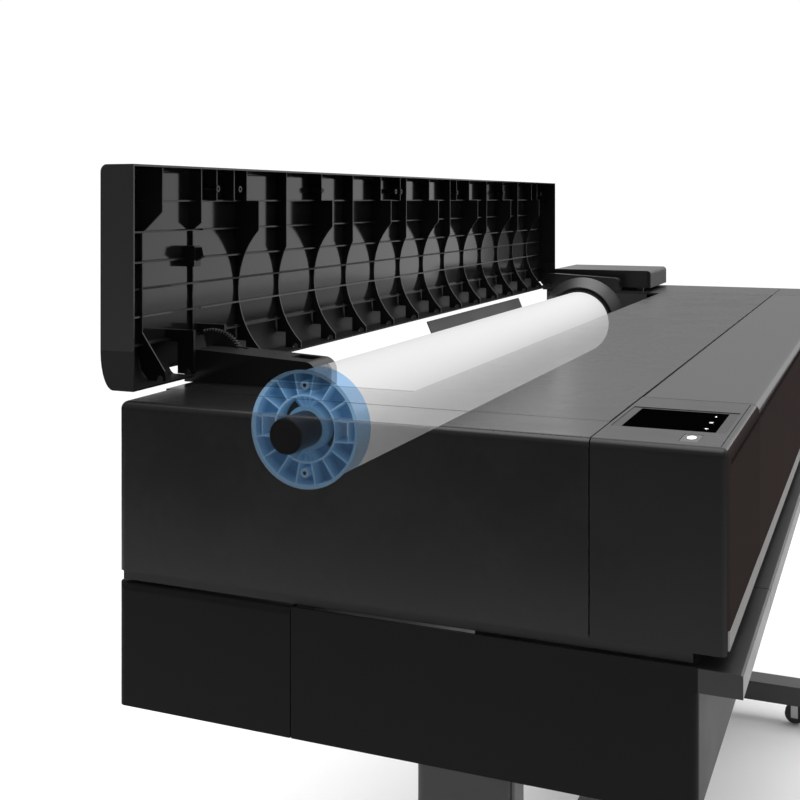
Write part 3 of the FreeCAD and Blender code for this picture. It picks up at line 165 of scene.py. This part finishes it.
def behind(finish):
    """1 where the sight line from a fixed point to this place goes on into the roll or its hub."""
    x, y, z = finish.xyz()
    run = finish.math("SUBTRACT", x, EYE.x)
    side = finish.math("SUBTRACT", y, EYE.y)
    rise = finish.math("SUBTRACT", z, EYE.z)
    mid_y, mid_z = ROLL_Y - EYE.y, ROLL_Z - EYE.z
    length = math.hypot(mid_y, mid_z)

    def reached(plane, radius):
        """(inside the disc, past its middle) of the sight line at an end plane of the roll."""
        scale = finish.math("DIVIDE", plane - EYE.x, run)
        along_y = finish.math("MULTIPLY", side, scale)
        along_z = finish.math("MULTIPLY", rise, scale)
        off_y = finish.math("SUBTRACT", along_y, mid_y)
        off_z = finish.math("SUBTRACT", along_z, mid_z)
        off = finish.math("ADD", finish.math("MULTIPLY", off_y, off_y),
                          finish.math("MULTIPLY", off_z, off_z))
        forward = finish.math("ADD", finish.math("MULTIPLY", along_y, mid_y / length),
                              finish.math("MULTIPLY", along_z, mid_z / length))
        return (finish.math("LESS_THAN", off, radius * radius),
                finish.math("GREATER_THAN", forward, length))

    in_hub, past_hub = reached(HUB_LOW.x, HUB_RADIUS)
    in_far, past_far = reached(ROLL_HIGH.x, ROLL_RADIUS)
    aim = math.atan2(mid_z, mid_y)
    half = math.asin(ROLL_RADIUS / length)
    angle = finish.math("ARCTAN2", rise, side)
    band = finish.math("LESS_THAN", finish.math("ABSOLUTE", finish.math("SUBTRACT", angle, aim)), half)
    side_hit = finish.math("MULTIPLY", band, finish.math("MAXIMUM", in_far, past_far))
    side_hit = finish.math("MULTIPLY", side_hit, finish.math("SUBTRACT", 1.0, past_hub))
    return finish.math("MAXIMUM", side_hit, in_hub)


def see_through(finish, near_solid, top_solid):
    """Lets the roll and hub show through a fixed patch.

    The outer skin stays partly solid, and the faces inside the covers vanish.
    """
    x, y, z = finish.xyz()
    over = finish.math("MAXIMUM", finish.math("SUBTRACT", z, TOP - EDGE), 0.0)
    aside = finish.math("MAXIMUM", finish.math("SUBTRACT", NEAR_FACE + EDGE, x), 0.0)
    reach = finish.math("ADD", finish.math("MULTIPLY", over, over),
                        finish.math("MULTIPLY", aside, aside))
    outer = finish.math("GREATER_THAN", reach, (EDGE - SKIN) ** 2)
    fade = finish.ramp(y, 0.12, -0.06, near_solid, near_solid + 0.10)
    topped = finish.math("GREATER_THAN", z, TOP - SKIN)
    level = finish.math("ADD", fade, finish.math("MULTIPLY", topped,
                                                 finish.math("SUBTRACT", top_solid, fade)))
    solid = finish.math("MULTIPLY", outer, level)
    hidden = finish.math("SUBTRACT", 1.0, solid)
    clear = finish.math("MULTIPLY", behind(finish), hidden)
    finish.feed(finish.shader.inputs["Alpha"], finish.math("SUBTRACT", 1.0, clear))


def paint(finish, *names):
    """Gives CAD nodes a material."""
    for name in names:
        node = NODES[name]
        node.data.materials.clear()
        node.data.materials.append(finish.material)


COVER = (0.0165, 0.0165, 0.017)

cover = surface("cover_dotted", COVER, 0.27, gloss=0.3)
level = cover.math("GREATER_THAN", cover.xyz()[2], TOP - 0.001)
spots = cover.math("MULTIPLY", dots(cover, 0.0048, 0.0011, 0.0006), level)
tinted = cover.blend(spots, cover.colour, shade(COVER, 0.2))
cover.feed(cover.shader.inputs["Base Color"], tinted)
cover.feed(cover.shader.inputs["Specular IOR Level"], cover.ramp(spots, 0.0, 1.0, 0.32, 0.12))
cover.bump(cover.math("ADD", cover.math("MULTIPLY", cover.fine, 0.15), spots), 0.00030, -1.0)
see_through(cover, 0.58, 0.22)
paint(cover, "top_cover", "near_end_cover")

smooth = surface("cover_smooth", shade(COVER, 1.1), 0.30, gloss=0.24)
_, smooth_y, smooth_z = smooth.xyz()
fascia = smooth.math("MULTIPLY", smooth.math("LESS_THAN", smooth_y, FRONT_FACE + 0.003),
                     smooth.math("LESS_THAN", smooth_z, TOP - 0.003))
smooth.feed(smooth.shader.inputs["Specular IOR Level"], smooth.ramp(fascia, 0.0, 1.0, 0.22, 0.0))
smooth.feed(smooth.shader.inputs["Base Color"],
            smooth.blend(fascia, smooth.colour, (0.036, 0.028, 0.027)))
paint(smooth, "control_panel_housing", "far_front_cover", "far_end_cover", "rear_cover",
      "carriage")

lower = surface("lower_smooth", shade(COVER, 0.75), 0.45, gloss=0.06)
paint(lower, "lower_near_rear_cover", "lower_near_front_cover", "lower_far_cover",
      "lower_rear_cover", "lower_front_cover")

raised = surface("raised_cover", COVER, 0.40, grain=900.0, depth=0.00008)
paint(raised, "far_raised_cover")

gloss_front = surface("front_gloss", (0.040, 0.031, 0.030), 0.14, vary=0.10, grain=600.0,
                      depth=0.00001, gloss=0.0)
upper = gloss_front.math("GREATER_THAN", gloss_front.xyz()[2], TOP - 0.012)
gloss_front.feed(gloss_front.shader.inputs["Roughness"], gloss_front.ramp(upper, 0.0, 1.0, 0.14, 0.30))
gloss_front.feed(gloss_front.shader.inputs["Specular IOR Level"],
                 gloss_front.math("MULTIPLY", upper, 0.3))
gloss_front.feed(gloss_front.shader.inputs["Base Color"],
                 gloss_front.blend(upper, gloss_front.colour, COVER))
paint(gloss_front, "front_door", "ink_door")

bezel = surface("bezel_satin", (0.040, 0.040, 0.040), 0.34, gloss=0.10)
paint(bezel, "display_bezel")

glass = surface("display_glass", (0.0008, 0.0008, 0.0009), 0.10, vary=0.05, depth=0.000002, gloss=0.0)
paint(glass, "display_glass")

button = surface("button_satin", (0.06, 0.06, 0.06), 0.36)
paint(button, "home_button")

strip = surface("strip_satin", (0.33, 0.325, 0.32), 0.34, stretch=(0.05, 1, 1), gloss=0.0)
paint(strip, "panel_trim_strip", "door_trim_strip")

band = surface("dark_band", (0.010, 0.010, 0.010), 0.6)
paint(band, "reveal_band")

sheet = surface("dark_sheet", (0.012, 0.012, 0.012), 0.5, grain=700.0)
see_through(sheet, 0.0, 0.0)
paint(sheet, "roll_trough", "near_saddle", "rear_paper_guide")

shroud = surface("shroud_grey", (0.045, 0.045, 0.045), 0.45)
paint(shroud, "far_shroud")

arm = surface("arm_black", (0.011, 0.011, 0.011), 0.38)
arm.feed(arm.shader.inputs["Alpha"], arm.math("SUBTRACT", 1.0, arm.math("MULTIPLY", behind(arm), 0.72)))
paint(arm, "near_arm")
far_arm = surface("far_arm_black", (0.011, 0.011, 0.011), 0.38)
paint(far_arm, "far_arm")

lid = surface("lid_gloss", (0.014, 0.014, 0.015), 0.09, vary=0.10, grain=500.0, depth=0.000002)
LID_LOW, LID_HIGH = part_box("lid_shell")
lid_x, lid_y, lid_z = lid.xyz()
end_face = lid.math("LESS_THAN", lid_x, LID_LOW.x + 0.0006)
foot = lid.math("LESS_THAN", lid_z, TOP + 0.062)
satin = lid.math("MAXIMUM", lid.math("GREATER_THAN", lid_y, LID_HIGH.y - 0.0014),
                 lid.math("MAXIMUM", end_face, foot))
lid.feed(lid.shader.inputs["Roughness"], lid.ramp(satin, 0.0, 1.0, 0.12, 0.45))
# Painted light: the end face is made lighter in colour; its higher roughness above is the real satin
# finish.
lid.feed(lid.shader.inputs["Base Color"],
         lid.blend(end_face, lid.colour, (0.026, 0.026, 0.026)))
lid.feed(lid.shader.inputs["Specular IOR Level"], lid.ramp(foot, 0.0, 1.0, 0.5, 0.1))
paint(lid, "lid_shell")

rib = surface("rib_black", (0.010, 0.010, 0.010), 0.34)
paint(rib, "lid_rib_frame", "lid_latch")

gear = surface("gear_black", (0.012, 0.012, 0.012), 0.42, grain=800.0)
paint(gear, "lid_gear_sector", "damper_pinion", "far_hub")

steel = surface("pin_steel", (0.45, 0.45, 0.46), 0.25, metal=1.0, stretch=(1, 8, 8))
paint(steel, "lid_hinge_pins", "roll_motor_pinion", "guide_rod")

spindle = surface("spindle_black", (0.012, 0.010, 0.009), 0.35)
paint(spindle, "spindle")

motor = surface("motor_paint", (0.06, 0.06, 0.062), 0.4, metal=0.4)
paint(motor, "roll_motor")

zinc = surface("zinc_sheet", (0.30, 0.30, 0.31), 0.38, metal=1.0, cloud=30.0)
paint(zinc, "near_end_plate", "far_end_plate", "base_tray")

aluminium = surface("aluminium", (0.55, 0.55, 0.56), 0.32, metal=1.0, stretch=(0.04, 1, 1))
paint(aluminium, "platen", "guide_beam", "feed_roller")

inlet = surface("inlet_black", (0.012, 0.012, 0.012), 0.45)
paint(inlet, "power_inlet")

ledge = surface("ledge_black", (0.022, 0.022, 0.023), 0.35)
paint(ledge, "front_ledge_near", "front_ledge")

powder = surface("stand_powder", (0.035, 0.035, 0.037), 0.48, grain=900.0, depth=0.0001)
paint(powder, "stand_frame")

foot = surface("foot_paint", (0.03, 0.03, 0.03), 0.5)
paint(foot, "levelling_feet")

CORNERS = ("near_front", "near_rear", "far_front", "far_rear")
caster_steel = surface("caster_steel", (0.38, 0.38, 0.39), 0.30, metal=1.0, cloud=60.0)
paint(caster_steel, *(f"caster_fork_{corner}" for corner in CORNERS))
rubber = surface("caster_rubber", (0.02, 0.02, 0.02), 0.6, grain=1800.0, depth=0.0001)
paint(rubber, *(f"caster_wheel_{corner}" for corner in CORNERS))

paper = surface("paper", (0.34, 0.34, 0.338), 0.6, vary=0.02, grain=2500.0, depth=0.00003, gloss=0.15)
# Painted light: the paper glows with a white emission, with its base colour kept low, so the roll reads
# bright even where the covers shut out the lamps.
paper.set(Emission_Color=(1.0, 1.0, 1.0, 1.0), Emission_Strength=0.42)
paint(paper, "paper_roll")

core = surface("core_board", (0.36, 0.26, 0.17), 0.7, vary=0.25, grain=900.0, stretch=(0.3, 1, 1))
paint(core, "paper_core")

hub = surface("hub_blue", (0.07, 0.20, 0.38), 0.34, vary=0.06)
hub_x, hub_y, hub_z = hub.xyz()
# Painted highlight: the hub's front edges get a paler blue.
front_edge_highlight = hub.math("LESS_THAN", hub_x, HUB_LOW.x + 0.0042)
# Painted shade: the hub's walls darken the deeper they lie towards the web.
depth = hub.ramp(hub_x, HUB_LOW.x + 0.004, HUB_LOW.x + 0.034)
off_y, off_z = (hub.math("POWER", hub.math("ABSOLUTE", hub.math("SUBTRACT", axis, middle)), 2.0)
                for axis, middle in ((hub_y, ROLL_Y), (hub_z, ROLL_Z)))
from_axis = hub.math("POWER", hub.math("ADD", off_y, off_z), 0.5)
# Painted highlight: a paler blue round the hub's outer rim.
rim_highlight = hub.math("GREATER_THAN", from_axis, HUB_RADIUS - 0.0008)
shaded_walls = hub.blend(depth, (0.080, 0.165, 0.260), (0.024, 0.066, 0.112))
edge_highlighted = hub.blend(front_edge_highlight, shaded_walls, (0.170, 0.290, 0.420))
# Painted light: the hub's blues go into emission, so the whole hub glows though it is no lamp.
hub.feed(hub.shader.inputs["Emission Color"], hub.blend(rim_highlight, edge_highlighted, (0.170, 0.235, 0.300)))
hub.set(Emission_Strength=1.0)
paint(hub, "near_hub")

light = surface("white_light", (0.9, 0.9, 0.9), 0.4, vary=0.02)
light.set(Emission_Color=(1.0, 1.0, 1.0, 1.0), Emission_Strength=0.9)

# Painted shade: a dark brown that stands for the shaded core and holes inside the hub.
opening_shade = surface("hub_opening", (0.10, 0.055, 0.035), 0.6)


# ---------------------------------------------------------------- added pieces
def piece(name, body, finish, build):
    """A mesh made by build(mesh), riding a body."""
    mesh = bmesh.new()
    build(mesh)
    data = bpy.data.meshes.new(name)
    bmesh.ops.recalc_face_normals(mesh, faces=mesh.faces)
    mesh.to_mesh(data)
    mesh.free()
    data.materials.append(finish.material)
    made = bpy.data.objects.new(name, data)
    bpy.context.scene.collection.objects.link(made)
    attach(made, body)
    return made


def prism(mesh, corners, axis, low, high):
    """A closed prism: corners in the plane across an axis (0 is X, 2 is Z), from low to high."""
    rings = []
    for level in (low, high):
        rings.append([mesh.verts.new((level, *corner) if axis == 0 else (*corner, level))
                      for corner in corners])
    mesh.faces.new(rings[0][::-1])
    mesh.faces.new(rings[1])
    for index in range(len(corners)):
        after = (index + 1) % len(corners)
        mesh.faces.new((rings[0][index], rings[0][after], rings[1][after], rings[1][index]))


def on_hub(radius, turn):
    """(y, z) at a radius and an angle in degrees round the roll axis, 0 towards the rear."""
    return (ROLL_Y + radius * math.cos(math.radians(turn)),
            ROLL_Z + radius * math.sin(math.radians(turn)))


def hub_wall(mesh, start, end, thick, low, high):
    """A thin wall from one (y, z) to another."""
    away = Vector(end) - Vector(start)
    across = Vector((-away.y, away.x)).normalized() * thick / 2
    corners = [tuple(Vector(point) + across * sign)
               for point, sign in ((start, 1), (start, -1), (end, -1), (end, 1))]
    prism(mesh, corners, 0, low, high)


HUB_WEB = HUB_LOW.x + 0.034   # near face of the hub's web
COLLAR, RING = 0.0335, 0.0495   # radii of the bearing collar and of the inner ring
WINDOW_END = 0.0725             # how far out the lever windows reach
WINDOW_HALF = 0.0155            # half height of a lever window
BOSS_PLACE = 0.066              # roll axis to a screw boss


def hub_details(mesh):
    """Spokes in two Vs and the frames of the two lever windows."""
    for middle in (90, 270):
        for lean in (-1, 1):
            hub_wall(mesh, on_hub(COLLAR, middle + lean * 9), on_hub(RING, middle + lean * 20),
                     0.0018, HUB_LOW.x + 0.006, HUB_WEB)
            hub_wall(mesh, on_hub(COLLAR, middle + lean * 3), on_hub(RING, middle + lean * 6),
                     0.0014, HUB_LOW.x + 0.010, HUB_WEB)
    for side in (-1, 1):
        inner, outer = ROLL_Y + side * RING, ROLL_Y + side * WINDOW_END
        for level in (-WINDOW_HALF, WINDOW_HALF):
            hub_wall(mesh, (inner, ROLL_Z + level), (outer, ROLL_Z + level),
                     0.0020, HUB_LOW.x + 0.003, HUB_WEB)
        hub_wall(mesh, (outer, ROLL_Z - WINDOW_HALF - 0.001),
                 (outer, ROLL_Z + WINDOW_HALF + 0.001),
                 0.0020, HUB_LOW.x + 0.003, HUB_WEB)


def hub_openings(mesh):
    """Dark sectors of painted shade beside the collar, where the core shows through the web, and dark
    discs of painted shade on the screw bosses.
    """
    for middle in (0, 180):
        turns = [middle - 48 + step * 8 for step in range(13)]
        outline = [on_hub(RING - 0.001, turn) for turn in turns]
        outline += [on_hub(COLLAR + 0.001, turn) for turn in reversed(turns)]
        prism(mesh, outline, 0, HUB_WEB - 0.0008, HUB_WEB + 0.0002)
    for level in (-BOSS_PLACE, BOSS_PLACE):
        outline = [(ROLL_Y + 0.003 * math.cos(turn), ROLL_Z + level + 0.003 * math.sin(turn))
                   for turn in (math.tau * step / 20 for step in range(20))]
        prism(mesh, outline, 0, HUB_LOW.x + 0.0028, HUB_LOW.x + 0.0035)


piece("hub_details", "roll", hub, hub_details)
piece("hub_openings", "roll", opening_shade, hub_openings)

GLASS_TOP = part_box("display_glass")[1].z
BUTTON_LOW, BUTTON_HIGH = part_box("home_button")


def oval(middle, long, wide, steps=28):
    """Corners of an ellipse in the X-Y plane."""
    return [(middle[0] + long * math.cos(math.tau * step / steps),
             middle[1] + wide * math.sin(math.tau * step / steps)) for step in range(steps)]


ICON_Y = -0.343    # the icons' line on the display
ICON_RISE = 0.0002  # thickness of an icon


def icons(mesh):
    """Three plain signs along the front edge of the display: a dot pair, bars and a triangle."""
    y, dots_x, bars_x, point_x, base_x = ICON_Y, -0.991, -1.031, -1.0735, -1.069
    for shift in (-0.0022, 0.0022):
        prism(mesh, oval((dots_x + shift, y), 0.0010, 0.0010, 16), 2, GLASS_TOP, GLASS_TOP + ICON_RISE)
        low, high = bars_x + shift - 0.0006, bars_x + shift + 0.0006
        prism(mesh, [(low, y - 0.0022), (high, y - 0.0022), (high, y + 0.0022), (low, y + 0.0022)],
              2, GLASS_TOP, GLASS_TOP + ICON_RISE)
    prism(mesh, [(point_x, y), (base_x, y - 0.0024), (base_x, y + 0.0024)],
          2, GLASS_TOP, GLASS_TOP + ICON_RISE)


def glow_spot(mesh):
    """The lit oval in the middle of the home button."""
    middle = ((BUTTON_LOW.x + BUTTON_HIGH.x) / 2 + 0.004, (BUTTON_LOW.y + BUTTON_HIGH.y) / 2)
    prism(mesh, oval(middle, 0.0095, 0.0050), 2, BUTTON_HIGH.z - 0.0001, BUTTON_HIGH.z + 0.0001)


piece("display_icons", "frame", light, icons)
piece("home_button_light", "button", light, glow_spot)


# ---------------------------------------------------------------- studio
floor = bpy.data.objects.new("floor", bpy.data.meshes.new("floor"))
bpy.context.scene.collection.objects.link(floor)
mesh = bmesh.new()
bmesh.ops.create_grid(mesh, x_segments=2, y_segments=2, size=3.8)
mesh.to_mesh(floor.data)
mesh.free()
pale = surface("pale_floor", (0.88, 0.88, 0.88), 0.8, vary=0.01, gloss=0.1)
floor.data.materials.append(pale.material)

world = bpy.data.worlds.new("studio")
bpy.context.scene.world = world
world.use_nodes = True
tree = world.node_tree
tree.nodes.clear()
output = tree.nodes.new("ShaderNodeOutputWorld")
pick = tree.nodes.new("ShaderNodeMixShader")
rays = tree.nodes.new("ShaderNodeLightPath")
white = tree.nodes.new("ShaderNodeBackground")
white.inputs[0].default_value = (1.0, 1.0, 1.0, 1.0)
white.inputs[1].default_value = 1.05
glow = tree.nodes.new("ShaderNodeBackground")
coords = tree.nodes.new("ShaderNodeTexCoord")
toward = tree.nodes.new("ShaderNodeVectorMath")
toward.operation = "DOT_PRODUCT"
toward.inputs[1].default_value = (0.95, -0.30, 0.0)
sort = tree.nodes.new("ShaderNodeSeparateXYZ")
side = tree.nodes.new("ShaderNodeMapRange")
rise = tree.nodes.new("ShaderNodeMapRange")
strength = tree.nodes.new("ShaderNodeMath")
strength.operation = "MULTIPLY"
for node, values in ((side, (-0.2, 0.9, 0.20, 1.0)), (rise, (0.08, 0.25, 0.05, 1.4))):
    for socket, value in zip(node.inputs[1:], values):
        socket.default_value = value
tree.links.new(coords.outputs["Generated"], toward.inputs[0])
tree.links.new(coords.outputs["Generated"], sort.inputs[0])
tree.links.new(toward.outputs["Value"], side.inputs[0])
tree.links.new(sort.outputs[2], rise.inputs[0])
tree.links.new(side.outputs[0], strength.inputs[0])
tree.links.new(rise.outputs[0], strength.inputs[1])
tree.links.new(strength.outputs[0], glow.inputs[1])
tree.links.new(rays.outputs["Is Camera Ray"], pick.inputs[0])
tree.links.new(glow.outputs[0], pick.inputs[1])
tree.links.new(white.outputs[0], pick.inputs[2])
tree.links.new(pick.outputs[0], output.inputs[0])


def lamp(name, kind, energy, place, aim, **settings):
    data = bpy.data.lights.new(name, kind)
    data.energy = energy
    for key, value in settings.items():
        setattr(data, key, value)
    light = bpy.data.objects.new(name, data)
    light.location = place
    light.rotation_mode = "QUATERNION"
    light.rotation_quaternion = (Vector(aim) - Vector(place)).to_track_quat("-Z", "Y")
    bpy.context.scene.collection.objects.link(light)
    return light


front_box = lamp("front_box", "AREA", 16.5, (3.6, -2.1, 1.6), (0.0, 0.4, 1.3),
                 shape="RECTANGLE", size=2.8, size_y=1.8)
far_box = lamp("far_box", "AREA", 14.0, (5.0, 2.9, 2.4), (0.0, 0.0, 1.15),
               shape="RECTANGLE", size=3.0, size_y=2.4)
front_box.visible_camera = False
far_box.visible_camera = False
lamp("overhead", "SUN", 3.0, (0.0, 0.0, 5.0), (0.0, 0.15, 0.0), angle=math.radians(60))

camera_data = bpy.data.cameras.new("camera")
camera_data.lens = 53.2
camera_data.sensor_width = 36.0
camera_data.shift_y = -0.251
camera_data.clip_start = 0.05
camera_data.clip_end = 200.0
camera = bpy.data.objects.new("camera", camera_data)
camera.location = EYE
camera.rotation_mode = "QUATERNION"
camera.rotation_quaternion = LOOK.to_track_quat("-Z", "Y")
bpy.context.scene.collection.objects.link(camera)
bpy.context.scene.camera = camera
bpy.context.scene.view_settings.view_transform = "Standard"
